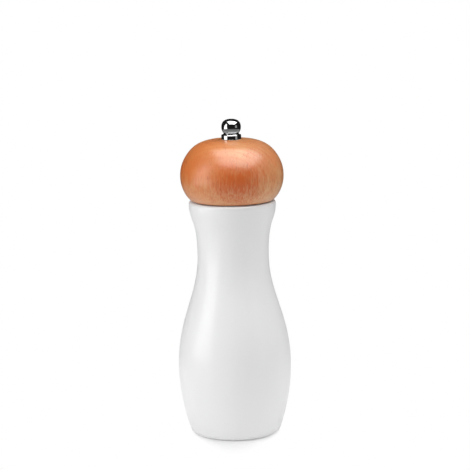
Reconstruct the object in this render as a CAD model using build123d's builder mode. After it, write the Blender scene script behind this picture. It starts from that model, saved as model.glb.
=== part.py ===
from build123d import *

import os
from math import cos, pi, radians, sin, sqrt

# A pepper mill: a turned body and head round a steel burr mechanism on one square shaft.
#
# Millimetres, +Z up, origin at the centre of the foot. Turning the head turns the shaft and
# the rotor inside the fixed stator. Screwing the knob down draws the shaft and the rotor up,
# which closes the burrs. The mechanism is set out from the foot upwards, so the depth of the
# foot recess follows from what hangs in it, and the shaft reaches from there to the knob.

# ---- Turned body: its outline from the foot to the rim, and its bores ----
body_height = 137.5
foot_radius = 25.8
foot_round = 3.2
belly_radius = 33.0
belly_height = 40.5
flank_radius = 27.3
flank_height = 73.3
waist_radius = 20.75
waist_height = 105.5
collar_radius = 22.65
collar_drop = 13.5
lip_radius = 25.3
lip_drop = 2.0
lip_round = 1.6
foot_wall = 6.2
foot_edge_chamfer = 0.6
chamber_radius = 13.5
mouth_chamfer = 0.8

# ---- Turned head: its outline from the underside to the crown, and its tenon ----
rim_gap = 0.3
head_height = 35.45
head_edge_radius = 23.6
brow_radius = 28.1
brow_height = 5.8
head_radius = 30.0
head_widest_height = 14.4
shoulder_radius = 26.2
shoulder_height = 26.6
temple_radius = 20.3
temple_height = 32.4
cap_radius = 13.5
cap_drop = 0.55
head_bore_radius = 4.2
tenon_length = 13.8
tenon_clearance = 0.3
tenon_chamfer = 0.8

# ---- Knob: a ball nut on a waisted foot ----
knob_seat_gap = 0.1
knob_foot_radius = 5.75
knob_foot_height = 2.5
knob_foot_chamfer = 0.15
knob_flare_radius = 5.1
knob_flare_height = 0.8
knob_neck_radius = 4.3
ball_radius = 5.65
ball_rise = 4.685
knob_thread_depth = 8.7

# ---- Square shaft, with a round thread on top and a round journal below ----
shaft_side = 5.0
square_clearance = 0.15
top_thread_radius = 2.5
thread_clearance = 0.06
square_stop_below_crown = 2.5
journal_radius = 2.0
journal_clearance = 0.05
shaft_end_chamfer = 0.4
fine_travel = 0.6
coarse_travel = 1.6
stop_clearance = 0.35

# ---- Bracket across the foot recess, and the bush in it that steadies the journal ----
floor_clearance = 1.0
journal_reach = 0.5
bush_length = 2.8
bush_wall = 1.2
bush_flange_radius = 4.4
bush_flange_height = 0.8
bush_seat_clearance = 0.03
bracket_thickness = 1.2
bracket_width = 11.0
bracket_end_clearance = 0.9
bracket_flat_length = 17.0
bracket_step_length = 3.6
bracket_bend_radius = 1.4
bracket_screw_margin = 0.25

# ---- Wood screws, two through the bracket and three through the drive plate ----
screw_radius = 1.5
screw_clearance = 0.1
pilot_clearance = 0.03
screw_head_radius = 2.7
screw_head_height = 1.5
screw_point_length = 2.5
screw_point_angle = 24.0
screw_head_dome = 0.6
screw_slot_width = 0.8
screw_slot_depth = 0.7
bracket_screw_length = 13.0
plate_screw_length = 9.0
pilot_spare = 1.0

# ---- Nut and washer that clamp the rotor on the shaft ----
nut_across_flats = 7.0
nut_height = 3.2
nut_chamfer = 0.5
washer_radius = 4.5
washer_thickness = 1.0

# ---- Burrs: the rotor cone and the stator ring ----
rotor_radius = 10.9
rotor_throat_radius = 8.2
rotor_shoulder_radius = 5.7
rotor_fine_height = 6.0
rotor_coarse_height = 7.5
rotor_coarse_teeth = 8
rotor_coarse_depth = 1.2
rotor_coarse_twist = 42.0
rotor_hub_radius = 5.0
rotor_hub_height = 1.0
rotor_set = 0.6
burr_gap = 0.57
fine_teeth = 28
fine_depth = 0.7
fine_twist = 9.0
steep_flank = 0.25
stator_clearance = 0.15
stator_flange_thickness = 1.6
stator_flange_clearance = 0.4
stator_barrel_height = 17.0
stator_mouth_radius = 10.4
stator_coarse_teeth = 12
stator_coarse_twist = 24.0

# ---- Spring, thrust washer and the three-armed guide that bridges the stator ----
spring_length = 9.0
spring_wire = 0.8
spring_radius = 4.3
spring_turns = 5
thrust_washer_radius = 5.5
thrust_washer_thickness = 1.0
guide_hub_radius = 5.6
guide_hub_height = 4.0
guide_clearance = 0.1
guide_ring_wall = 1.4
guide_ring_height = 1.6
guide_seat_wall = 0.8
guide_seat_clearance = 0.05
guide_arms = 3
guide_arm_width = 3.2
guide_arm_thickness = 1.4
guide_arm_reach = 2.6

# ---- Drive plate under the tenon ----
drive_plate_thickness = 1.5
drive_plate_inset = 1.2
drive_plate_screws = 3
plate_screw_radius = 8.6

# ---- Levels, from the foot upwards ----
journal_end = floor_clearance + coarse_travel
bush_bottom = journal_end + journal_reach
bush_top = bush_bottom + bush_length
bracket_centre_top = bush_top - bush_flange_height
nut_bottom = bush_top + stop_clearance + coarse_travel
washer_bottom = nut_bottom + nut_height
rotor_bottom = washer_bottom + washer_thickness
flange_bottom = rotor_bottom - rotor_set
recess_depth = flange_bottom + stator_flange_thickness
burr_throat = rotor_bottom + rotor_fine_height
rotor_shoulder = burr_throat + rotor_coarse_height
rotor_top = rotor_shoulder + rotor_hub_height
stator_top = recess_depth + stator_barrel_height
guide_seat = stator_top - guide_ring_height
spring_top = rotor_top + spring_length
guide_hub_bottom = spring_top + thrust_washer_thickness
guide_hub_top = guide_hub_bottom + guide_hub_height
bracket_seat = flange_bottom - bracket_thickness
head_bottom = body_height + rim_gap
tenon_bottom = head_bottom - tenon_length
drive_plate_bottom = tenon_bottom - drive_plate_thickness
crown = head_bottom + head_height
knob_bottom = crown + knob_seat_gap
knob_foot_top = knob_bottom + knob_foot_height
knob_neck = knob_foot_top + knob_flare_height
ball_centre = knob_neck + sqrt(ball_radius**2 - knob_neck_radius**2)
knob_top = ball_centre + ball_rise
thread_end = knob_bottom + knob_thread_depth
shaft_tip = thread_end - stop_clearance - fine_travel
square_end = crown - square_stop_below_crown

# ---- Radii and widths that fit one piece to another ----
recess_radius = foot_radius - foot_wall
tenon_radius = chamber_radius - tenon_clearance
drive_plate_radius = tenon_radius - drive_plate_inset
square_hole = shaft_side + 2 * square_clearance
guide_bore = shaft_side / sqrt(2) + guide_clearance
knob_bore = top_thread_radius + thread_clearance
bush_bore = journal_radius + journal_clearance
bush_radius = bush_bore + bush_wall
screw_hole = screw_radius + screw_clearance
pilot_hole = screw_radius + pilot_clearance
nut_corner_radius = nut_across_flats / sqrt(3)
stator_radius = chamber_radius - stator_clearance
stator_flange_radius = recess_radius - stator_flange_clearance
guide_ring_radius = stator_radius - guide_seat_wall - guide_seat_clearance
bracket_length = 2 * (recess_radius - bracket_end_clearance)
bracket_screw_radius = bracket_length / 2 - screw_head_radius - bracket_screw_margin
rotor_slope = (rotor_radius - rotor_throat_radius) / rotor_fine_height
stator_throat_radius = rotor_throat_radius + burr_gap
stator_base_radius = rotor_radius + rotor_slope * rotor_set + burr_gap
stator_coarse_depth = guide_ring_radius - guide_ring_wall - stator_mouth_radius


def bore(radius, low, high):
    """Cut a round hole on the axis of the current part, between two levels."""
    with BuildSketch(Plane.XY.offset(low)) as section:
        Circle(radius)
    extrude(section.sketch, amount=high - low, mode=Mode.SUBTRACT)


def disc(radius, low, high):
    """Add a round disc on the axis of the current part, between two levels."""
    with BuildSketch(Plane.XY.offset(low)) as section:
        Circle(radius)
    extrude(section.sketch, amount=high - low)


def square_bore(low, high):
    """Cut the square hole that slides on the shaft through the current part."""
    with BuildSketch(Plane.XY.offset(low)) as section:
        Rectangle(square_hole, square_hole)
    extrude(section.sketch, amount=high - low, mode=Mode.SUBTRACT)


def bolt_circle(radius, count, hole, low, high):
    """Cut a circle of round holes in the current part, between two levels."""
    with BuildSketch(Plane.XY.offset(low)) as section:
        with PolarLocations(radius, count):
            Circle(hole)
    extrude(section.sketch, amount=high - low, mode=Mode.SUBTRACT)


def saw_ring(level, count, tip, root, lead, turn):
    """Return a section like a ring of saw teeth. Each root follows its tip by lead, a share of
    the pitch."""
    pitch = 2 * pi / count
    corners = []
    for tooth in range(count):
        for radius, share in ((tip, 0), (root, lead)):
            angle = radians(turn) + (tooth + share) * pitch
            corners.append((radius * cos(angle), radius * sin(angle)))
    with BuildSketch(Plane.XY.offset(level)) as section:
        with BuildLine():
            Polyline(*corners, close=True)
        make_face()
    return section.sketch


def toothed_cone(low, high, tips, depth, teeth, lead, twist, steps, mode=Mode.ADD):
    """Loft a cone of slanting saw teeth between two levels of the current part.

    tips holds the tip radius at the low and at the high level. A negative depth sinks the
    teeth's roots towards the axis, and a positive one away from it.
    """
    sections = []
    for step in range(steps + 1):
        share = step / steps
        tip = tips[0] + (tips[1] - tips[0]) * share
        level = low + (high - low) * share
        sections.append(saw_ring(level, teeth, tip, tip + depth, lead, twist * share))
    for below, above in zip(sections, sections[1:]):
        loft([below, above], ruled=True, mode=mode)


def wood_screws(screws, seat, length, radius, count):
    """Add a circle of slotted wood screws whose heads hang from the seat."""
    point_level = seat + length - screw_point_length
    with BuildSketch(Plane.XY.offset(seat)) as heads:
        with PolarLocations(radius, count):
            Circle(screw_head_radius)
    extrude(heads.sketch, amount=-screw_head_height)
    fillet(screws.edges().group_by(Axis.Z)[0], screw_head_height * screw_head_dome)
    with BuildSketch(Plane.XY.offset(seat)) as shanks:
        with PolarLocations(radius, count):
            Circle(screw_radius)
    extrude(shanks.sketch, amount=length - screw_point_length)
    with BuildSketch(Plane.XY.offset(point_level)) as points:
        with PolarLocations(radius, count):
            Circle(screw_radius)
    extrude(points.sketch, amount=screw_point_length, taper=screw_point_angle)
    with BuildSketch(Plane.XY.offset(seat - screw_head_height)) as slots:
        with PolarLocations(radius, count):
            Rectangle(2 * screw_head_radius, screw_slot_width)
    extrude(slots.sketch, amount=screw_slot_depth, mode=Mode.SUBTRACT)


def rim_edges(part, radius, level):
    """Pick the circular edges of a part with this radius at this level."""
    circles = part.edges().filter_by(GeomType.CIRCLE)
    matching = circles.filter_by(lambda e: abs(e.radius - radius) < 0.01)
    return matching.filter_by(lambda e: abs(e.center().Z - level) < 0.01)


# ---- Body: a turned post with a straight bore, and a recess under the foot ----
with BuildPart() as mill_body:
    with BuildSketch(Plane.XZ):
        with BuildLine():
            belly = TangentArc((belly_radius, belly_height), (foot_radius, 0), tangent=(0, -1))
            flank = Spline(
                (belly_radius, belly_height),
                (flank_radius, flank_height),
                (waist_radius, waist_height),
                tangents=((0, 1), (0, 1)),
            )
            collar = Spline(
                (waist_radius, waist_height),
                (collar_radius, body_height - collar_drop),
                (lip_radius, body_height - lip_drop),
                tangents=((0, 1), (0, 1)),
            )
            Polyline(collar @ 1, (lip_radius, body_height), (0, body_height), (0, 0), belly @ 1)
        make_face()
    revolve(axis=Axis.Z)
    fillet(rim_edges(mill_body, foot_radius, 0), foot_round)
    fillet(rim_edges(mill_body, lip_radius, body_height), lip_round)
    bore(recess_radius, 0, recess_depth)
    bore(chamber_radius, recess_depth, body_height)
    chamfer(rim_edges(mill_body, recess_radius, 0), foot_edge_chamfer)
    chamfer(rim_edges(mill_body, chamber_radius, body_height), mouth_chamfer)
    pilot_depth = bracket_screw_length - bracket_thickness - stator_flange_thickness + pilot_spare
    pilot_top = recess_depth + pilot_depth
    bolt_circle(bracket_screw_radius, 2, pilot_hole, recess_depth, pilot_top)

# ---- Head: a turned cap whose tenon drops into the body's bore ----
with BuildPart() as head:
    with BuildSketch(Plane.XZ):
        with BuildLine():
            brow = Spline(
                (head_edge_radius, head_bottom),
                (brow_radius, head_bottom + brow_height),
                (head_radius, head_bottom + head_widest_height),
                tangents=((1, 0.75), (0, 1)),
            )
            dome = Spline(
                (head_radius, head_bottom + head_widest_height),
                (shoulder_radius, head_bottom + shoulder_height),
                (temple_radius, head_bottom + temple_height),
                (cap_radius, crown - cap_drop),
                (knob_foot_radius, crown),
                tangents=((0, 1), (-1, 0.05)),
            )
            Polyline(
                dome @ 1,
                (0, crown),
                (0, tenon_bottom),
                (tenon_radius, tenon_bottom),
                (tenon_radius, head_bottom),
                brow @ 0,
            )
        make_face()
    revolve(axis=Axis.Z)
    bore(head_bore_radius, tenon_bottom, crown)
    chamfer(rim_edges(head, tenon_radius, tenon_bottom), tenon_chamfer)
    pilot_top = drive_plate_bottom + plate_screw_length + pilot_spare
    bolt_circle(plate_screw_radius, drive_plate_screws, pilot_hole, tenon_bottom, pilot_top)

# ---- Knob ----
with BuildPart() as knob:
    with BuildSketch(Plane.XZ):
        with BuildLine():
            underside = TangentArc(
                (ball_radius, ball_centre), (knob_neck_radius, knob_neck), tangent=(0, -1)
            )
            top = Spline((ball_radius, ball_centre), (0, knob_top), tangents=((0, 1), (-1, 0)))
            Polyline(
                top @ 1,
                (0, knob_bottom),
                (knob_foot_radius, knob_bottom),
                (knob_foot_radius, knob_foot_top),
                (knob_flare_radius, knob_foot_top),
                underside @ 1,
            )
        make_face()
    revolve(axis=Axis.Z)
    chamfer(rim_edges(knob, knob_foot_radius, knob_bottom), knob_foot_chamfer)
    chamfer(rim_edges(knob, knob_foot_radius, knob_foot_top), knob_foot_chamfer)
    bore(knob_bore, knob_bottom, thread_end)

# ---- Shaft ----
with BuildPart() as shaft:
    disc(journal_radius, journal_end, rotor_bottom)
    with BuildSketch(Plane.XY.offset(rotor_bottom)):
        Rectangle(shaft_side, shaft_side)
    extrude(amount=square_end - rotor_bottom)
    disc(top_thread_radius, square_end, shaft_tip)
    chamfer(rim_edges(shaft, journal_radius, journal_end), shaft_end_chamfer)
    chamfer(rim_edges(shaft, top_thread_radius, shaft_tip), shaft_end_chamfer)

# ---- Rotor: fine teeth round the skirt, coarse flutes above that draw the corns down ----
with BuildPart() as rotor:
    toothed_cone(
        rotor_bottom,
        burr_throat,
        (rotor_radius, rotor_throat_radius),
        -fine_depth,
        fine_teeth,
        1 - steep_flank,
        -fine_twist,
        steps=2,
    )
    toothed_cone(
        burr_throat,
        rotor_shoulder,
        (rotor_throat_radius, rotor_shoulder_radius),
        -rotor_coarse_depth,
        rotor_coarse_teeth,
        1 - steep_flank,
        -rotor_coarse_twist,
        steps=4,
    )
    disc(rotor_hub_radius, rotor_shoulder, rotor_top)
    square_bore(rotor_bottom, rotor_top)

# ---- Washer and nut under the rotor ----
with BuildPart() as rotor_washer:
    disc(washer_radius, washer_bottom, rotor_bottom)
    bore(bush_bore, washer_bottom, rotor_bottom)

with BuildPart() as shaft_nut:
    disc(nut_corner_radius, nut_bottom, washer_bottom)
    chamfer(rim_edges(shaft_nut, nut_corner_radius, nut_bottom), nut_chamfer)
    chamfer(rim_edges(shaft_nut, nut_corner_radius, washer_bottom), nut_chamfer)
    with BuildSketch(Plane.XY.offset(nut_bottom)):
        RegularPolygon(nut_across_flats / 2, 6, major_radius=False)
    extrude(amount=nut_height, mode=Mode.INTERSECT)
    bore(bush_bore, nut_bottom, washer_bottom)

# ---- Stator: a flanged ring, fine teeth below the throat and coarse teeth in its mouth ----
with BuildPart() as stator:
    disc(stator_flange_radius, flange_bottom, recess_depth)
    disc(stator_radius, recess_depth, stator_top)
    toothed_cone(
        flange_bottom,
        burr_throat,
        (stator_base_radius, stator_throat_radius),
        fine_depth,
        fine_teeth,
        steep_flank,
        fine_twist,
        steps=2,
        mode=Mode.SUBTRACT,
    )
    toothed_cone(
        burr_throat,
        guide_seat,
        (stator_throat_radius, stator_mouth_radius),
        stator_coarse_depth,
        stator_coarse_teeth,
        steep_flank,
        stator_coarse_twist,
        steps=3,
        mode=Mode.SUBTRACT,
    )
    bore(guide_ring_radius + guide_seat_clearance, guide_seat, stator_top)
    bolt_circle(bracket_screw_radius, 2, screw_hole, flange_bottom, recess_depth)

# ---- Guide: a ring in the stator's mouth carries three arms up to the shaft's bearing ----
with BuildPart() as guide_spider:
    disc(guide_ring_radius, guide_seat, stator_top)
    bore(guide_ring_radius - guide_ring_wall, guide_seat, stator_top)
    disc(guide_hub_radius, guide_hub_bottom, guide_hub_top)
    arm_top = guide_hub_top - guide_arm_thickness
    arm_knee = guide_hub_radius + guide_arm_reach
    arm_foot = guide_ring_radius - guide_ring_wall / 2
    for arm in range(guide_arms):
        with BuildSketch(Plane.XZ.rotated((0, 0, 90 + arm * 360 / guide_arms))):
            with BuildLine() as arm_line:
                FilletPolyline(
                    (guide_hub_radius / 2 + guide_bore / 2, arm_top),
                    (arm_knee, arm_top),
                    (arm_foot, guide_seat + guide_ring_height / 2),
                    radius=guide_arm_thickness,
                )
            trace(line_width=guide_arm_thickness)
        extrude(amount=guide_arm_width / 2, both=True)
    bore(guide_bore, guide_hub_bottom, guide_hub_top)

# ---- Thrust washer and spring, between the guide's hub and the rotor ----
with BuildPart() as thrust_washer:
    disc(thrust_washer_radius, spring_top, guide_hub_bottom)
    square_bore(spring_top, guide_hub_bottom)

with BuildPart() as spring:
    coil_height = spring_length - spring_wire
    coil_bottom = rotor_top + spring_wire / 2
    with BuildLine(Plane.XY.offset(coil_bottom)):
        coil = Helix(coil_height / spring_turns, coil_height, spring_radius)
    with BuildSketch(Plane(origin=coil @ 0, z_dir=coil % 0)):
        Circle(spring_wire / 2)
    sweep()

# ---- Bracket: a strip that holds the stator in and drops in the middle to reach the journal ----
with BuildPart() as retaining_bracket:
    foot_level = flange_bottom - bracket_thickness / 2
    centre_level = bracket_centre_top - bracket_thickness / 2
    flat = bracket_flat_length / 2
    with BuildSketch(Plane.XZ):
        with BuildLine():
            FilletPolyline(
                (-bracket_length / 2, foot_level),
                (-flat - bracket_step_length, foot_level),
                (-flat, centre_level),
                (flat, centre_level),
                (flat + bracket_step_length, foot_level),
                (bracket_length / 2, foot_level),
                radius=bracket_bend_radius,
            )
        trace(line_width=bracket_thickness)
    extrude(amount=bracket_width / 2, both=True)
    with BuildSketch(Plane.XY):
        SlotOverall(bracket_length, bracket_width)
    extrude(amount=recess_depth, mode=Mode.INTERSECT)
    bolt_circle(bracket_screw_radius, 2, screw_hole, bracket_seat, flange_bottom)
    bore(bush_radius + bush_seat_clearance, 0, recess_depth)

with BuildPart() as bracket_bush:
    disc(bush_radius, bush_bottom, bush_top)
    disc(bush_flange_radius, bracket_centre_top, bush_top)
    bore(bush_bore, bush_bottom, bush_top)

with BuildPart() as bracket_screws:
    wood_screws(bracket_screws, bracket_seat, bracket_screw_length, bracket_screw_radius, 2)

# ---- Drive plate and its screws, under the tenon ----
with BuildPart() as drive_plate:
    disc(drive_plate_radius, drive_plate_bottom, tenon_bottom)
    square_bore(drive_plate_bottom, tenon_bottom)
    bolt_circle(plate_screw_radius, drive_plate_screws, screw_hole, drive_plate_bottom, tenon_bottom)

with BuildPart() as plate_screws:
    wood_screws(
        plate_screws, drive_plate_bottom, plate_screw_length, plate_screw_radius, drive_plate_screws
    )

pieces = {
    "mill_body": mill_body,
    "head": head,
    "knob": knob,
    "shaft": shaft,
    "rotor": rotor,
    "rotor_washer": rotor_washer,
    "shaft_nut": shaft_nut,
    "stator": stator,
    "guide_spider": guide_spider,
    "thrust_washer": thrust_washer,
    "spring": spring,
    "retaining_bracket": retaining_bracket,
    "bracket_bush": bracket_bush,
    "bracket_screws": bracket_screws,
    "drive_plate": drive_plate,
    "plate_screws": plate_screws,
}
os.makedirs("parts", exist_ok=True)
for name, piece in pieces.items():
    piece.part.label = name
    export_step(piece.part, f"parts/{name}.step")
    print(f"{name}: {piece.part.volume:.1f} mm3")
print(f"overall height {knob_top:.2f} mm, foot recess {recess_depth:.2f} mm deep")
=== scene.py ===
import math

import bpy
from mathutils import Matrix, Vector


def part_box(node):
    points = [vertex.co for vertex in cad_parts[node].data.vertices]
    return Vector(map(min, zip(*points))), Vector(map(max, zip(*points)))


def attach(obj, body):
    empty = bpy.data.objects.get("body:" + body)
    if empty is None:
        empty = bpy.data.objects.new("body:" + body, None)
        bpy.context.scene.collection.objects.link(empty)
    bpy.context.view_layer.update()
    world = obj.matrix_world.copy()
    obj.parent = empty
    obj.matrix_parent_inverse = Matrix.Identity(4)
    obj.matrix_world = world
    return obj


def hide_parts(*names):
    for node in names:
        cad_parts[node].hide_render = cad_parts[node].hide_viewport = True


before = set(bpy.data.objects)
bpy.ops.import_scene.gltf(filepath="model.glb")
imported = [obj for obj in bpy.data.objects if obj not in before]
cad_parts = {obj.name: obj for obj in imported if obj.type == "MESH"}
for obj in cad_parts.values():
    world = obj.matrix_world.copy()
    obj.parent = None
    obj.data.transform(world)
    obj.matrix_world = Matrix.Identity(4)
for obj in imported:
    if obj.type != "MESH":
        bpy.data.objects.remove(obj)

bl_info = {
    "name": "Pepper Mill",
    "version": (1, 0, 0),
    "blender": (4, 5, 0),
    "location": "View3D > Sidebar > Mill",
    "description": "Finishes a turned pepper mill and sets up the studio it stands in",
    "category": "Object",
}

MM = 0.001
WHITE = (1.0, 1.0, 1.0, 1.0)

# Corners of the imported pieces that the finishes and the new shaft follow, in metres.
BODY_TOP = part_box("mill_body")[1].z
BUSH_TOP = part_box("bracket_bush")[1].z
HEAD_LOW, HEAD_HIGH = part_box("head")
SHAFT_LOW, SHAFT_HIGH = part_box("shaft")
ROTOR_LOW, ROTOR_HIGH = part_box("rotor")
STATOR_LOW, STATOR_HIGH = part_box("stator")

# Levels on the head: its underside, which hangs just above the body's rim, the top of its
# lower part, and the bottom of its upper part.
HEAD_SEAT = BODY_TOP + 0.3 * MM
HEAD_LOWER = HEAD_SEAT + 8.2 * MM
HEAD_UPPER = HEAD_SEAT + 22.2 * MM


# ---- Shader maths ----


class Tone:
    """A value on its way through a finish. Arithmetic on it adds Math nodes."""

    def __init__(self, recipe, socket):
        self.recipe = recipe
        self.socket = socket

    def __add__(self, other):
        return self.recipe.math("ADD", self, other)

    def __radd__(self, other):
        return self.recipe.math("ADD", other, self)

    def __sub__(self, other):
        return self.recipe.math("SUBTRACT", self, other)

    def __rsub__(self, other):
        return self.recipe.math("SUBTRACT", other, self)

    def __mul__(self, other):
        return self.recipe.math("MULTIPLY", self, other)

    def __rmul__(self, other):
        return self.recipe.math("MULTIPLY", other, self)

    def __truediv__(self, other):
        return self.recipe.math("DIVIDE", self, other)

    def __rtruediv__(self, other):
        return self.recipe.math("DIVIDE", other, self)

    def __pow__(self, other):
        return self.recipe.math("POWER", self, other)

    def __rpow__(self, other):
        return self.recipe.math("POWER", other, self)


class Recipe:
    """The node tree of one finish, and the few mixtures that the finishes share."""

    def __init__(self, tree, output="ShaderNodeOutputMaterial"):
        self.tree = tree
        tree.nodes.clear()
        self.output = tree.nodes.new(output)

    def add(self, kind, settings=None, inputs=None, output=0):
        """Add a node of this type: its settings first, then its sockets' values or links."""
        node = self.tree.nodes.new(kind)
        for name, value in (settings or {}).items():
            setattr(node, name, value)
        for name, value in (inputs or {}).items():
            if isinstance(value, Tone):
                self.tree.links.new(value.socket, node.inputs[name])
            else:
                node.inputs[name].default_value = value
        return Tone(self, node.outputs[output])

    def math(self, operation, *values):
        """One step of arithmetic on numbers and values."""
        return self.add("ShaderNodeMath", {"operation": operation}, dict(enumerate(values)))

    def place(self):
        """Where a point of the surface lies in the mill."""
        return self.add("ShaderNodeTexCoord", output="Object")

    def axes(self, point):
        """The x, y and z of a place, as three values."""
        parts = self.add("ShaderNodeSeparateXYZ", inputs={0: point}).socket.node.outputs
        return [Tone(self, part) for part in parts]

    def rays(self, *kinds):
        """For each kind of ray, a value that is 1 for the rays of that kind."""
        flags = self.add("ShaderNodeLightPath").socket.node.outputs
        return [Tone(self, flags[f"Is {kind} Ray"]) for kind in kinds]

    def length(self, first, *others):
        """The length of a line that runs this far along each axis."""
        total = first * first
        for other in others:
            total = total + other * other
        return total**0.5

    def noise(self, point, grain, detail=2.0, rough=0.5):
        """Noise whose patches are about as large as grain says, in millimetres along each axis."""
        scaled = self.add(
            "ShaderNodeVectorMath",
            {"operation": "MULTIPLY"},
            {0: point, 1: tuple(1 / (size * MM) for size in grain)},
        )
        return self.add(
            "ShaderNodeTexNoise",
            inputs={"Vector": scaled, "Scale": 1.0, "Detail": detail, "Roughness": rough},
        )

    def ease(self, value, low, high):
        """0 below low and 1 above high, with a smooth step between them."""
        return self.add(
            "ShaderNodeMapRange",
            {"interpolation_type": "SMOOTHSTEP"},
            {"Value": value, "From Min": low, "From Max": high},
        )

    def fade(self, value, low, high):
        """1 below low and 0 above high, with a smooth step between them."""
        return 1 - self.ease(value, low, high)

    def blend(self, first, second, share):
        """One colour where share is 0, the other where it is 1."""
        return self.add(
            "ShaderNodeMix", {"data_type": "RGBA"}, {0: share, 6: first, 7: second}, output=2
        )

    def mix(self, first, second, share):
        """One shader where share is 0, the other where it is 1."""
        return self.add("ShaderNodeMixShader", inputs={0: share, 1: first, 2: second})

    def glow(self, strength, colour=WHITE):
        """A shader that gives light of its own."""
        return self.add("ShaderNodeEmission", inputs={"Color": colour, "Strength": strength})

    def matt(self, grey):
        """A dull shader of this grey."""
        return self.add("ShaderNodeBsdfDiffuse", inputs={"Color": (grey, grey, grey, 1.0)})

    def close(self, shader):
        """Make this shader the whole finish."""
        self.tree.links.new(shader.socket, self.output.inputs["Surface"])

    def surface(self, height=None, relief=0.0, **sockets):
        """Close the finish with a Principled surface.

        The sockets are named in lower case, and relief is the height's depth in metres.
        """
        inputs = {
            name.replace("_", " ").title().replace("Ior", "IOR"): value
            for name, value in sockets.items()
        }
        if height is not None:
            inputs["Normal"] = self.add(
                "ShaderNodeBump", inputs={"Strength": 1.0, "Distance": relief, "Height": height}
            )
        self.close(self.add("ShaderNodeBsdfPrincipled", inputs=inputs))


def new_finish(name):
    """A new material and the recipe that fills it."""
    material = bpy.data.materials.new(name)
    material.use_nodes = True
    return material, Recipe(material.node_tree)


def paint(material, *names):
    """Give CAD nodes this finish."""
    for name in names:
        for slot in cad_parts[name].material_slots:
            slot.material = material


def rgb(colour, share=1.0):
    """A colour of three channels with its alpha, darkened to this share of its brightness."""
    return (*(channel * share for channel in colour), 1.0)


# ---- Finishes ----


# The pith of the tree stood here, behind the mill and to its right.
PITH_X = 21 * MM
PITH_Y = 86 * MM
RING_WIDTH = 2.9 * MM

# A reddish heart shows low on the head's front: its middle, and how far it spreads.
HEART_X, HEART_Y, HEART_Z = 2 * MM, -31 * MM, HEAD_SEAT + 14.2 * MM
HEART_WIDE, HEART_DEEP, HEART_HIGH = 17 * MM, 16 * MM, 13 * MM


def heartwood(recipe, aside, depth, above, streaks, clouds):
    """1 in the middle of the heart and 0 outside it, with an edge that follows the grain."""
    spread = recipe.length(aside, above, depth)
    ragged = (streaks - 0.5) * 0.8 + (clouds - 0.5) * 0.6
    return recipe.fade(spread + ragged, 0.0, 1.4)


def beech(recipe, point, pale, dark, contrast):
    """Colour and grain of turned beech that grew along the mill's axis.

    The mill's front is flat-sawn: faint, wavy rings with short dark dashes, which are the ends
    of the rays. pale is a colour node or a colour with alpha, and dark is a colour of three
    channels. Returns the colour, the grain's height and the dashes.
    """
    x, y, z = recipe.axes(point)

    # Rings and rays, measured from the pith.
    across = x - PITH_X
    along = y - PITH_Y
    waver = recipe.noise(point, (26, 26, 150), detail=1.0) * (5.5 * MM)
    reach = recipe.length(across, along) + waver
    ring = recipe.math("FRACT", reach / RING_WIDTH)
    late = recipe.ease(ring, 0.35, 0.93) * recipe.fade(ring, 0.93, 1.0)
    turn = recipe.math("ARCTAN2", across, along) * (92 * MM)
    rays = recipe.add("ShaderNodeCombineXYZ", inputs={0: turn, 1: reach, 2: z})
    dashes = recipe.ease(recipe.noise(rays, (0.45, 3.2, 3.2), detail=1.0), 0.58, 0.74)

    # The grain, from wide patches to single pores. All of it is drawn out along the axis.
    clouds = recipe.noise(point, (17, 17, 30))
    streaks = recipe.noise(point, (1.7, 1.7, 12), detail=3.0, rough=0.6)
    fibres = recipe.noise(point, (0.7, 0.7, 7))
    pores = recipe.noise(point, (0.16, 0.16, 1.6))

    # Places on the head: its heart, its lower part and its upper part.
    aside = (x - HEART_X) / HEART_WIDE
    depth = (y - HEART_Y) / HEART_DEEP
    above = (z - HEART_Z) / HEART_HIGH
    heart = heartwood(recipe, aside, depth, above, streaks, clouds)
    lower = recipe.fade(z, HEAD_LOWER, HEAD_UPPER + 4 * MM)
    upper = recipe.ease(z, HEAD_UPPER, HEAD_UPPER + 12 * MM)

    # How dark the wood is, from 0 to 1. A painted highlight makes the crown paler, and painted
    # bounce light from the floor makes the lower part paler.
    ringed = late * (0.10 + upper * 0.22)
    streaked = recipe.ease(streaks, 0.40, 0.64) * (0.14 + heart * 0.20 + lower * 0.16)
    clouded = recipe.ease(clouds, 0.32, 0.68) * 0.38
    fibrous = (fibres - 0.5) * (0.6 + lower * 0.9)
    reddened = heart * 0.64
    # Painted highlight on the crown and painted bounce light on the lower part.
    painted_highlight_and_bounce = upper * (0.37 - aside * 0.08) + lower * (0.21 + aside * 0.03)
    tone = 0.13 + ringed + streaked + clouded + fibrous + reddened - painted_highlight_and_bounce

    grain = recipe.blend(pale, rgb(dark), tone * contrast)
    colour = recipe.blend(grain, rgb(dark, 0.6), dashes * (0.45 * contrast))
    return colour, streaks * 0.6 + pores * 0.4, dashes


def bare_beech(recipe, point, finishes):
    """Colour and grain of the wood where it has no finish."""
    pale = rgb(finishes.beech_pale)
    wood, grain, _ = beech(recipe, point, pale, finishes.beech_dark, 0.8)
    return wood, grain


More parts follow.
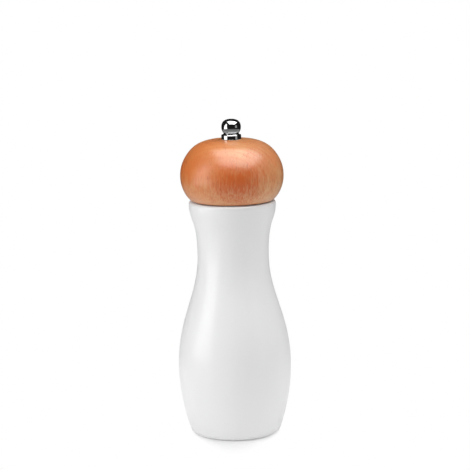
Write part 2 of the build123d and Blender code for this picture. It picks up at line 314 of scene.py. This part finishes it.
class MILL_PG_finishes(bpy.types.PropertyGroup):
    """Colours and gloss of the mill's finishes."""

    lacquer: bpy.props.FloatVectorProperty(
        name="Lacquer",
        description="Colour of the body's lacquer",
        subtype="COLOR",
        default=(0.80, 0.80, 0.805),
        min=0.0,
        max=1.0,
    )
    lacquer_roughness: bpy.props.FloatProperty(
        name="Lacquer roughness",
        description="From 0 for a mirror to 1 for chalk",
        subtype="FACTOR",
        default=0.30,
        min=0.0,
        max=1.0,
    )
    stain_warm: bpy.props.FloatVectorProperty(
        name="Stain, deep side",
        description="Colour of the stained head where the stain soaked in deeper",
        subtype="COLOR",
        default=(0.60, 0.194, 0.051),
        min=0.0,
        max=1.0,
    )
    stain_pale: bpy.props.FloatVectorProperty(
        name="Stain, pale grain",
        description="Colour of the stained head between its streaks",
        subtype="COLOR",
        default=(0.64, 0.337, 0.152),
        min=0.0,
        max=1.0,
    )
    stain_dark: bpy.props.FloatVectorProperty(
        name="Stain, dark grain",
        description="Colour of the stained head in its streaks",
        subtype="COLOR",
        default=(0.56, 0.108, 0.014),
        min=0.0,
        max=1.0,
    )
    beech_pale: bpy.props.FloatVectorProperty(
        name="Bare beech, pale grain",
        description="Colour of the unfinished wood inside the bores",
        subtype="COLOR",
        default=(0.62, 0.42, 0.25),
        min=0.0,
        max=1.0,
    )
    beech_dark: bpy.props.FloatVectorProperty(
        name="Bare beech, dark grain",
        description="Colour of the unfinished wood's streaks",
        subtype="COLOR",
        default=(0.45, 0.27, 0.14),
        min=0.0,
        max=1.0,
    )
    chrome: bpy.props.FloatVectorProperty(
        name="Chrome",
        description="Colour of the knob's plating",
        subtype="COLOR",
        default=(0.55, 0.555, 0.56),
        min=0.0,
        max=1.0,
    )
    burr_wear: bpy.props.FloatProperty(
        name="Burr wear",
        description="How bright the tips of the burrs' teeth are rubbed",
        subtype="FACTOR",
        default=0.6,
        min=0.0,
        max=1.0,
    )


class MILL_OT_lacquer(bpy.types.Operator):
    """Lacquer the body outside and leave its bores bare"""

    bl_idname = "mill.lacquer"
    bl_label = "Lacquer the body"

    def execute(self, context):
        finishes = context.scene.mill_finishes
        material, recipe = new_finish("white_lacquer")
        point = recipe.place()
        x, y, z = recipe.axes(point)

        # The lacquer ends raggedly, just past the walls of the bore and of the foot's recess.
        ragged = recipe.noise(point, (2.0, 2.0, 2.0), detail=3.0) * (0.5 * MM)
        reach = recipe.length(x, y) + ragged
        bore_edge = 14.2 * MM
        recess_edge = STATOR_HIGH.x + 0.9 * MM
        recess_top = STATOR_LOW.z + 2.0 * MM
        in_bore = recipe.fade(reach, bore_edge, bore_edge + 0.2 * MM)
        in_recess = recipe.fade(reach, recess_edge, recess_edge + 0.3 * MM) * recipe.fade(
            z, recess_top, recess_top + 0.5 * MM
        )
        bare = recipe.math("MAXIMUM", in_bore, in_recess)
        wood, grain = bare_beech(recipe, point, finishes)

        # Faint clouds and the skin that a sprayed coat dries to. The clear coat thins where the
        # surface turns away, so that it draws no dark outline.
        clouds = recipe.noise(point, (30, 30, 45))
        coat = recipe.blend(rgb(finishes.lacquer), rgb(finishes.lacquer, 0.965), clouds)
        peel = recipe.noise(point, (1.6, 1.6, 2.2), detail=1.0)
        facing = recipe.add("ShaderNodeLayerWeight", inputs={"Blend": 0.5}, output="Facing")
        recipe.surface(
            base_color=recipe.blend(coat, wood, bare),
            roughness=finishes.lacquer_roughness + (clouds - 0.5) * 0.06 + bare * 0.35,
            specular_ior_level=0.35,
            coat_weight=0.40 * (1 - bare) * recipe.fade(facing, 0.30, 0.80),
            coat_roughness=0.15,
            height=peel * (1 - bare) * 0.5 + grain * bare * 3.0,
            relief=0.012 * MM,
        )
        paint(material, "mill_body")
        return {"FINISHED"}


class MILL_OT_stain(bpy.types.Operator):
    """Stain and varnish the head, and leave its tenon bare"""

    bl_idname = "mill.stain"
    bl_label = "Stain the head"

    def execute(self, context):
        finishes = context.scene.mill_finishes
        material, recipe = new_finish("stained_beech")
        point = recipe.place()
        x, y, z = recipe.axes(point)
        seam = HEAD_SEAT + 0.9 * MM

        # Stain soaks a little way in under the head, and leaves the tenon bare.
        soaked = recipe.noise(point, (1.4, 1.4, 3.0), detail=3.0) * (1.6 * MM)
        tenon_edge = 15.6 * MM
        bare = recipe.fade(z + soaked, HEAD_SEAT, seam) * recipe.fade(
            recipe.length(x, y) + soaked, tenon_edge, tenon_edge + 0.8 * MM
        )

        # It went on deeper on the left. A painted shade line darkens the head's lowest edge, where
        # it hangs over the body's rim.
        drift = recipe.noise(point, (24, 24, 24), detail=1.0) * (16 * MM)
        # The lower part leans to the pale stain: painted bounce light from the floor.
        painted_bounce_shift = recipe.fade(z, HEAD_LOWER, HEAD_UPPER) * (22 * MM)
        ground = recipe.blend(
            rgb(finishes.stain_warm),
            rgb(finishes.stain_pale),
            recipe.ease(x + drift + painted_bounce_shift, -16 * MM, 34 * MM),
        )
        stained, grain, dashes = beech(recipe, point, ground, finishes.stain_dark, 1.0)
        # Painted shade: a dark line along the head's lowest edge, over the seam with the body.
        painted_seam_shade = recipe.fade(z, HEAD_SEAT, seam) * 0.8
        stained = recipe.blend(stained, rgb(finishes.stain_dark, 0.35), painted_seam_shade)

        wood, _ = bare_beech(recipe, point, finishes)
        recipe.surface(
            base_color=recipe.blend(stained, wood, bare),
            roughness=0.55 + (grain - 0.5) * 0.12 + bare * 0.2,
            specular_ior_level=0.15,
            coat_weight=0.95 * (1 - bare),
            coat_roughness=0.28,
            coat_ior=1.6,
            height=grain + bare * grain * 2.0 - dashes * 0.3,
            relief=0.02 * MM,
        )
        paint(material, "head")
        return {"FINISHED"}


class MILL_OT_knob(bpy.types.Operator):
    """Chrome the knob"""

    bl_idname = "mill.knob"
    bl_label = "Chrome the knob"

    def execute(self, context):
        finishes = context.scene.mill_finishes
        material, recipe = new_finish("knob_chrome")
        point = recipe.place()
        haze = recipe.noise(point, (3.0, 3.0, 3.0), detail=3.0)
        lathe = recipe.noise(point, (40, 40, 0.09))
        recipe.surface(
            base_color=recipe.blend(rgb(finishes.chrome), rgb(finishes.chrome, 0.93), haze),
            metallic=1.0,
            roughness=0.035 + recipe.ease(haze, 0.5, 0.8) * 0.05,
            height=lathe,
            relief=0.0006 * MM,
        )
        paint(material, "knob")
        return {"FINISHED"}


class MILL_OT_burrs(bpy.types.Operator):
    """Finish the burrs as dark hardened steel, rubbed bright at the tips of the teeth"""

    bl_idname = "mill.burrs"
    bl_label = "Harden the burrs"

    def execute(self, context):
        wear = context.scene.mill_finishes.burr_wear
        fine_height = 6.0 * MM
        throat_radius = 8.2 * MM
        throat = ROTOR_LOW.z + fine_height
        fine_slope = (ROTOR_HIGH.x - throat_radius) / fine_height

        # For each burr: how far its tips stand outside the rotor's cone, how its coarse teeth
        # slope, and whether the steel lies inside (1) or outside (-1) of them.
        for node, gap, coarse_slope, side in (
            ("rotor", 0.0, -1 / 3, 1),
            ("stator", 0.57 * MM, 0.2, -1),
        ):
            material, recipe = new_finish(f"{node}_steel")
            point = recipe.place()
            x, y, z = recipe.axes(point)
            rise = z - throat
            above = recipe.ease(rise, -0.02 * MM, 0.02 * MM)
            slope = above * (coarse_slope + fine_slope) - fine_slope
            tip = rise * slope + (throat_radius + gap)
            depth = (tip - recipe.length(x, y)) * side
            rubbed = recipe.fade(depth, 0.02 * MM, 0.28 * MM) * recipe.ease(
                depth, -0.6 * MM, -0.3 * MM
            )
            patchy = recipe.noise(point, (0.8, 0.8, 0.8), detail=4.0, rough=0.6)
            shine = rubbed * wear * recipe.ease(patchy, 0.25, 0.6)
            temper = recipe.blend((0.055, 0.052, 0.050, 1), (0.12, 0.115, 0.11, 1), patchy)
            recipe.surface(
                base_color=recipe.blend(temper, (0.56, 0.55, 0.53, 1), shine),
                metallic=0.75 + shine * 0.25,
                roughness=0.52 - shine * 0.24 + (patchy - 0.5) * 0.2,
                height=patchy,
                relief=0.03 * MM,
            )
            paint(material, node)
        return {"FINISHED"}


class MILL_OT_stampings(bpy.types.Operator):
    """Zinc-plate the pressed parts and the screws"""

    bl_idname = "mill.stampings"
    bl_label = "Plate the stampings"

    def execute(self, context):
        material, recipe = new_finish("plated_steel")
        point = recipe.place()
        bloom = recipe.noise(point, (3.5, 3.5, 3.5), detail=3.0)
        rolled = recipe.noise(point, (5.0, 0.12, 5.0), detail=3.0)
        specks = recipe.ease(recipe.noise(point, (0.5, 0.5, 0.5)), 0.66, 0.74)
        zinc = recipe.blend((0.60, 0.61, 0.62, 1), (0.50, 0.50, 0.49, 1), bloom)
        recipe.surface(
            base_color=recipe.blend(zinc, (0.36, 0.35, 0.33, 1), specks * 0.5),
            metallic=1.0,
            roughness=0.27 + (bloom - 0.5) * 0.16 + rolled * 0.08,
            height=rolled + bloom * 0.5,
            relief=0.004 * MM,
        )
        paint(
            material,
            "guide_spider",
            "retaining_bracket",
            "rotor_washer",
            "thrust_washer",
            "drive_plate",
            "shaft_nut",
            "bracket_screws",
            "plate_screws",
        )
        return {"FINISHED"}


class MILL_OT_spring(bpy.types.Operator):
    """Finish the spring as bright drawn wire"""

    bl_idname = "mill.spring"
    bl_label = "Finish the spring"

    def execute(self, context):
        material, recipe = new_finish("spring_steel")
        point = recipe.place()
        die_lines = recipe.noise(point, (2.5, 2.5, 0.07))
        oil = recipe.noise(point, (1.5, 1.5, 1.5))
        recipe.surface(
            base_color=recipe.blend((0.58, 0.57, 0.55, 1), (0.40, 0.39, 0.37, 1), oil),
            metallic=1.0,
            roughness=0.2 + die_lines * 0.12,
            height=die_lines,
            relief=0.003 * MM,
        )
        paint(material, "spring")
        return {"FINISHED"}


class MILL_OT_bush(bpy.types.Operator):
    """Finish the bush as natural nylon"""

    bl_idname = "mill.bush"
    bl_label = "Finish the bush"

    def execute(self, context):
        material, recipe = new_finish("bush_nylon")
        point = recipe.place()
        flow = recipe.noise(point, (2.2, 2.2, 1.2))
        recipe.surface(
            base_color=recipe.blend((0.80, 0.77, 0.68, 1), (0.70, 0.66, 0.56, 1), flow),
            roughness=0.42 + (flow - 0.5) * 0.1,
            height=recipe.noise(point, (0.12, 0.12, 0.12)),
            relief=0.004 * MM,
        )
        paint(material, "bracket_bush")
        return {"FINISHED"}


# ---- Shaft and its threads ----


class MILL_PG_threads(bpy.types.PropertyGroup):
    """Sizes of the shaft's bar and threads."""

    top_pitch: bpy.props.FloatProperty(
        name="Knob thread's pitch",
        description="Rise of the shaft's top thread in one turn",
        unit="LENGTH",
        default=0.8 * MM,
        min=0.3 * MM,
        max=1.5 * MM,
        precision=5,
    )
    stud_pitch: bpy.props.FloatProperty(
        name="Nut thread's pitch",
        description="Rise of the thread under the rotor in one turn",
        unit="LENGTH",
        default=0.7 * MM,
        min=0.3 * MM,
        max=1.5 * MM,
        precision=5,
    )
    corner: bpy.props.FloatProperty(
        name="Bar's corner",
        description="Radius on the long edges of the drawn square bar",
        unit="LENGTH",
        default=0.3 * MM,
        min=0.0,
        max=1.0 * MM,
        precision=5,
    )
    steps: bpy.props.IntProperty(
        name="Steps",
        description="Steps in one turn of a thread",
        default=32,
        min=12,
        max=96,
    )


def deselect():
    """Leave edit mode and select nothing, because an operator acts on all that is selected."""
    if bpy.context.object and bpy.context.object.mode != "OBJECT":
        bpy.ops.object.mode_set(mode="OBJECT")
    bpy.ops.object.select_all(action="DESELECT")


def pick(piece):
    """Select this piece alone."""
    deselect()
    piece.select_set(True)
    bpy.context.view_layer.objects.active = piece


def named(name):
    """Name the piece that an operator has just added."""
    piece = bpy.context.object
    piece.name = name
    return piece


def settle(piece):
    """Move a piece's place into its mesh, so that its object stands at the origin."""
    pick(piece)
    bpy.ops.object.transform_apply(location=True, rotation=True, scale=True)


def apply_modifiers(piece):
    pick(piece)
    for modifier in list(piece.modifiers):
        bpy.ops.object.modifier_apply(modifier=modifier.name)


def rod(name, radius, low, high, end, chamfer):
    """A round blank on the mill's axis, chamfered at the end that lies at this level."""
    deselect()
    bpy.ops.mesh.primitive_cylinder_add(
        vertices=48, radius=radius, depth=high - low, location=(0, 0, (low + high) / 2)
    )
    blank = named(name)
    settle(blank)
    bpy.ops.object.mode_set(mode="EDIT")
    bpy.ops.mesh.select_all(action="DESELECT")
    bpy.ops.object.mode_set(mode="OBJECT")
    vertices = blank.data.vertices
    for edge in blank.data.edges:
        edge.select = all(abs(vertices[v].co.z - end) < 0.001 * MM for v in edge.vertices)
    bpy.ops.object.mode_set(mode="EDIT")
    bpy.ops.mesh.bevel(offset=chamfer, segments=1, affect="EDGES")
    bpy.ops.object.mode_set(mode="OBJECT")
    return blank


def keep_inside(piece, blank):
    """Cut away what stands out of the blank, which is used up."""
    modifier = piece.modifiers.new("cut", "BOOLEAN")
    modifier.operation = "INTERSECT"
    modifier.solver = "EXACT"
    modifier.object = blank
    apply_modifiers(piece)
    bpy.data.objects.remove(blank, do_unlink=True)


def thread(name, radius, pitch, low, high, steps):
    """A metric thread between two levels on the mill's axis, open at neither end.

    One ridge of the profile is drawn as a line of points and wound up by a Screw modifier. The
    ends are then cut square and filled.
    """
    depth = 0.6134 * pitch
    flank = depth * math.tan(math.radians(30))
    crest = pitch / 8
    root = pitch - 2 * flank - crest
    deselect()
    bpy.ops.mesh.primitive_plane_add(size=1 * MM, location=(0, 0, 0))
    worm = named(name)
    bpy.ops.object.mode_set(mode="EDIT")
    bpy.ops.mesh.select_all(action="SELECT")
    bpy.ops.mesh.merge(type="CENTER")
    bpy.ops.transform.translate(value=(radius - depth, 0, low - 1.5 * pitch))
    for out, up in ((0, root), (depth, flank), (0, crest), (-depth, flank)):
        bpy.ops.mesh.extrude_region_move(TRANSFORM_OT_translate={"value": (out, 0, up)})
    bpy.ops.object.mode_set(mode="OBJECT")
    screw = worm.modifiers.new("wind", "SCREW")
    screw.axis = "Z"
    screw.angle = math.tau
    screw.screw_offset = pitch
    screw.iterations = math.ceil((high - low) / pitch) + 3
    screw.steps = steps
    screw.render_steps = steps
    screw.use_merge_vertices = True
    screw.merge_threshold = 0.001 * MM
    apply_modifiers(worm)
    bpy.ops.object.mode_set(mode="EDIT")
    for level, keep in ((low, {"clear_inner": True}), (high, {"clear_outer": True})):
        bpy.ops.mesh.select_all(action="SELECT")
        bpy.ops.mesh.bisect(
            plane_co=(0, 0, level), plane_no=(0, 0, 1), use_fill=True, threshold=1e-7, **keep
        )
    bpy.ops.mesh.select_all(action="SELECT")
    bpy.ops.mesh.remove_doubles(threshold=0.0005 * MM)
    bpy.ops.mesh.normals_make_consistent(inside=False)
    bpy.ops.object.mode_set(mode="OBJECT")
    return worm


def aluminium():
    """Drawn aluminium, with lines along the bar and light scuffs."""
    material, recipe = new_finish("shaft_aluminium")
    point = recipe.place()
    drawn = recipe.noise(point, (0.10, 0.10, 60), detail=3.0)
    scuff = recipe.noise(point, (1.2, 1.2, 4.0), detail=4.0, rough=0.6)
    recipe.surface(
        base_color=recipe.blend((0.86, 0.86, 0.86, 1), (0.74, 0.74, 0.74, 1), scuff),
        metallic=0.9,
        roughness=0.36 + drawn * 0.12 + (scuff - 0.5) * 0.12,
        height=drawn + scuff * 0.4,
        relief=0.004 * MM,
    )
    return material


class MILL_OT_shaft(bpy.types.Operator):
    """Model the drawn square shaft with its two threads"""

    bl_idname = "mill.shaft"
    bl_label = "Thread the shaft"

    def execute(self, context):
        sizes = context.scene.mill_threads
        top_radius = 2.5 * MM
        stud_radius = 2.0 * MM
        square_low = ROTOR_LOW.z
        square_top = HEAD_HIGH.z - 2.5 * MM
        journal_top = BUSH_TOP + 0.35 * MM

        deselect()
        side = SHAFT_HIGH.x - SHAFT_LOW.x
        bpy.ops.mesh.primitive_cube_add(
            size=1.0,
            location=(0, 0, (square_low + square_top) / 2),
            scale=(side, side, square_top - square_low),
        )
        bar = named("threaded_shaft")
        settle(bar)
        corner = bar.modifiers.new("corner", "BEVEL")
        corner.width = sizes.corner
        corner.segments = 3
        apply_modifiers(bar)

        shaft_top = SHAFT_HIGH.z
        top = thread(
            "knob_thread", top_radius, sizes.top_pitch, square_top, shaft_top, sizes.steps
        )
        blank = rod(
            "blank", top_radius + 0.1 * MM, square_top - 1 * MM, shaft_top, shaft_top, 0.55 * MM
        )
        keep_inside(top, blank)
        stud = thread(
            "nut_thread", stud_radius, sizes.stud_pitch, journal_top, square_low, sizes.steps
        )
        shaft_end = SHAFT_LOW.z
        journal = rod("journal", stud_radius, shaft_end, journal_top, shaft_end, 0.4 * MM)

        pick(bar)
        for part in (top, stud, journal):
            part.select_set(True)
        bpy.ops.object.join()
        bpy.ops.object.shade_smooth_by_angle(angle=math.radians(35))
        bar.data.materials.clear()
        bar.data.materials.append(aluminium())
        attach(bar, "spindle")
        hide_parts("shaft")
        return {"FINISHED"}


# ---- Studio ----


class MILL_PG_studio(bpy.types.PropertyGroup):
    """The studio's camera and lights."""

    lens: bpy.props.FloatProperty(
        name="Lens",
        description="Focal length on a sensor 36 mm wide",
        unit="CAMERA",
        default=146.94,
        min=20.0,
        max=400.0,
    )
    ambient: bpy.props.FloatProperty(
        name="Ambient",
        description="Strength of the light from all round",
        default=0.16,
        min=0.0,
        max=2.0,
    )
    side_power: bpy.props.FloatProperty(
        name="Side light",
        description="Power of the light on the left",
        unit="POWER",
        default=5.9,
        min=0.0,
        max=200.0,
    )
    top_power: bpy.props.FloatProperty(
        name="Top light",
        description="Power of the light overhead",
        unit="POWER",
        default=15.0,
        min=0.0,
        max=200.0,
    )
    fill_power: bpy.props.FloatProperty(
        name="Fill light",
        description="Power of the light on the right",
        unit="POWER",
        default=2.7,
        min=0.0,
        max=200.0,
    )
    top_window: bpy.props.FloatProperty(
        name="Top window",
        description="Brightness of the soft box overhead, where it shows in gloss",
        default=4.3,
        min=0.0,
        max=20.0,
    )
    side_window: bpy.props.FloatProperty(
        name="Side window",
        description="Brightness of the soft box on the left, where it shows in gloss",
        default=2.236,
        min=0.0,
        max=20.0,
    )
    reflector: bpy.props.FloatProperty(
        name="Reflector",
        description="Brightness of the small card on the right, where it shows in gloss",
        default=0.5,
        min=0.0,
        max=20.0,
    )


def floor_paper():
    """White paper to the eye, with the mill's real shadow and a painted shadow round the foot, and
    a grey table to gloss.
    """
    material, recipe = new_finish("floor_paper")
    x, y, _ = recipe.axes(recipe.place())
    radius = recipe.length(x, y)

    # The eye sees plain white, and only close to the foot a darker paper that the lamps light, so
    # the mill's real shadow there is mixed with a painted shadow. The painted shadow reaches
    # further in front and behind than at the sides.
    sideways = x * x / (radius * radius)
    away = (radius - 22 * MM) * (1 + sideways * 6)
    real_and_painted_shadow = recipe.fade(away, 3 * MM, 34 * MM)
    seen = recipe.mix(recipe.glow(1.0), recipe.matt(0.70), real_and_painted_shadow * 0.85)

    # The paper lights the foot's turned-in edge a little more than it would by itself.
    under = recipe.fade(radius, 30 * MM, 240 * MM) * 0.15
    paper = recipe.add("ShaderNodeAddShader", inputs={0: recipe.matt(0.90), 1: recipe.glow(under)})

    # Gloss sees a table that is brightest behind the mill, and dark walls past its edge.
    behind = recipe.ease(y, -60 * MM, 40 * MM)
    close = recipe.fade(radius, 80 * MM, 320 * MM)
    table = 0.24 + close * 0.26 + behind * (0.08 + close * 0.32)
    clear = recipe.add("ShaderNodeBsdfTransparent")
    past_edge = recipe.ease(radius, 520 * MM, 540 * MM)
    mirrored = recipe.mix(recipe.glow(table), clear, past_edge)

    eye, gloss = recipe.rays("Camera", "Glossy")
    shown = recipe.mix(recipe.mix(paper, mirrored, gloss), seen, eye)
    from_below = recipe.add("ShaderNodeNewGeometry", output="Backfacing")
    recipe.close(recipe.mix(shown, clear, from_below))
    return material


def lay_floor():
    """A sheet of paper just under the foot."""
    deselect()
    bpy.ops.mesh.primitive_plane_add(size=24.0, location=(0, 0, -0.05 * MM))
    floor = named("floor")
    floor.data.materials.append(floor_paper())


def show_in_gloss(panel, strength, colour=WHITE):
    """Make a panel glow in reflections only, where it throws no light or shadow."""
    material, recipe = new_finish(panel.name)
    recipe.close(recipe.glow(strength, colour))
    panel.data.materials.append(material)
    panel.visible_camera = False
    panel.visible_diffuse = False
    panel.visible_transmission = False
    panel.visible_shadow = False


def raise_walls():
    """Dark walls all round."""
    deselect()
    bpy.ops.mesh.primitive_uv_sphere_add(
        segments=32, ring_count=16, radius=2.6, location=(0, 0, 0.4)
    )
    walls = named("dark_walls")
    settle(walls)
    show_in_gloss(walls, 0.018, (1, 0.97, 0.94, 1))


def window(name, corners, strength):
    """A glowing panel with these four corners, in order round it."""
    deselect()
    bpy.ops.mesh.primitive_plane_add(size=1.0)
    panel = named(name)
    for vertex, corner in zip((0, 1, 3, 2), corners):
        panel.data.vertices[vertex].co = corner
    show_in_gloss(panel, strength)


def lamp(name, place, size, target, power):
    """A large soft lamp that lights the object and doesn't show in gloss."""
    deselect()
    bpy.ops.object.light_add(type="AREA", location=place)
    light = named(name)
    light.data.shape = "RECTANGLE"
    light.data.size, light.data.size_y = size
    light.data.energy = power
    light.rotation_euler = (target - light.location).to_track_quat("-Z", "Y").to_euler()
    light.visible_camera = False
    light.visible_glossy = False


def light_room(ambient):
    """Even light from all round, and a white room to the eye, to gloss and through glass."""
    world = bpy.data.worlds.new("studio")
    bpy.context.scene.world = world
    world.use_nodes = True
    recipe = Recipe(world.node_tree, "ShaderNodeOutputWorld")
    eye, gloss, through = recipe.rays("Camera", "Glossy", "Transmission")
    seen = recipe.math("MAXIMUM", eye, recipe.math("MAXIMUM", gloss, through))
    sky, backdrop = (
        recipe.add("ShaderNodeBackground", inputs={"Color": WHITE, "Strength": strength})
        for strength in (ambient, 0.99)
    )
    recipe.close(recipe.mix(sky, backdrop, seen))


def set_camera(lens):
    """A camera a little above the mill, which looks down on it and leans slightly."""
    deselect()
    bpy.ops.object.camera_add(location=(0, -1.1011, 0.3112))
    camera = bpy.context.object
    camera.data.sensor_width = 36.0
    camera.data.lens = lens
    camera.data.clip_start = 0.01
    turn = Matrix.Rotation(math.radians(-0.065), 3, "Z")
    tilt = Matrix.Rotation(math.radians(90 - 10.005), 3, "X")
    lean = Matrix.Rotation(math.radians(-0.93), 3, "Z")
    camera.rotation_euler = (turn @ tilt @ lean).to_euler()
    bpy.context.scene.camera = camera
    bpy.context.scene.view_settings.view_transform = "Standard"


class MILL_OT_studio(bpy.types.Operator):
    """Build the floor, the soft boxes, the dark walls and the camera"""

    bl_idname = "mill.studio"
    bl_label = "Set up the studio"

    def execute(self, context):
        studio = context.scene.mill_studio

        # The knob shows the bare table below it, so the wood stays out of its gloss.
        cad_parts["head"].visible_glossy = False

        lay_floor()
        raise_walls()
        window(
            "top_window",
            [(-0.52, -1.15, 1.18), (1.15, -1.15, 1.18), (1.15, 0.3, 1.18), (-0.52, 0.3, 1.18)],
            studio.top_window,
        )
        window(
            "side_window",
            [(-0.7, 0.06, -0.04), (-0.7, -0.65, -0.1), (-0.7, -0.44, 0.74), (-0.7, -0.22, 0.70)],
            studio.side_window,
        )
        window(
            "right_reflector",
            [(0.56, -0.48, 0.06), (0.72, -0.22, 0.06), (0.72, -0.22, 0.38), (0.56, -0.48, 0.38)],
            studio.reflector,
        )

        target = Vector((0, 0, HEAD_LOW.z * 0.7))
        lamp("side_lamp", (-0.78, -0.30, 0.62), (0.7, 0.7), target, studio.side_power)
        lamp("top_lamp", (0.25, -0.10, 1.2), (1.8, 1.2), target, studio.top_power)
        lamp("fill_lamp", (0.85, -0.10, 0.72), (0.7, 0.7), target, studio.fill_power)
        light_room(studio.ambient)
        set_camera(studio.lens)
        return {"FINISHED"}


class MILL_PT_panel(bpy.types.Panel):
    """The mill's settings and steps, in the 3D view's sidebar"""

    bl_idname = "MILL_PT_panel"
    bl_label = "Pepper Mill"
    bl_space_type = "VIEW_3D"
    bl_region_type = "UI"
    bl_category = "Mill"

    def draw(self, context):
        layout = self.layout
        for group in (
            context.scene.mill_finishes,
            context.scene.mill_threads,
            context.scene.mill_studio,
        ):
            for name in group.__annotations__:
                layout.prop(group, name)
        for step in STEPS:
            layout.operator(step.bl_idname)


STEPS = (
    MILL_OT_lacquer,
    MILL_OT_stain,
    MILL_OT_knob,
    MILL_OT_burrs,
    MILL_OT_stampings,
    MILL_OT_spring,
    MILL_OT_bush,
    MILL_OT_shaft,
    MILL_OT_studio,
)
GROUPS = (MILL_PG_finishes, MILL_PG_threads, MILL_PG_studio)


def register():
    for cls in (*GROUPS, *STEPS, MILL_PT_panel):
        bpy.utils.register_class(cls)
    bpy.types.Scene.mill_finishes = bpy.props.PointerProperty(type=MILL_PG_finishes)
    bpy.types.Scene.mill_threads = bpy.props.PointerProperty(type=MILL_PG_threads)
    bpy.types.Scene.mill_studio = bpy.props.PointerProperty(type=MILL_PG_studio)


def unregister():
    del bpy.types.Scene.mill_studio
    del bpy.types.Scene.mill_threads
    del bpy.types.Scene.mill_finishes
    for cls in reversed((*GROUPS, *STEPS, MILL_PT_panel)):
        bpy.utils.unregister_class(cls)


def main():
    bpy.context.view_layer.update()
    register()
    bpy.ops.mill.lacquer()
    bpy.ops.mill.stain()
    bpy.ops.mill.knob()
    bpy.ops.mill.burrs()
    bpy.ops.mill.stampings()
    bpy.ops.mill.spring()
    bpy.ops.mill.bush()
    bpy.ops.mill.shaft()
    bpy.ops.mill.studio()


if __name__ == "__main__":
    main()
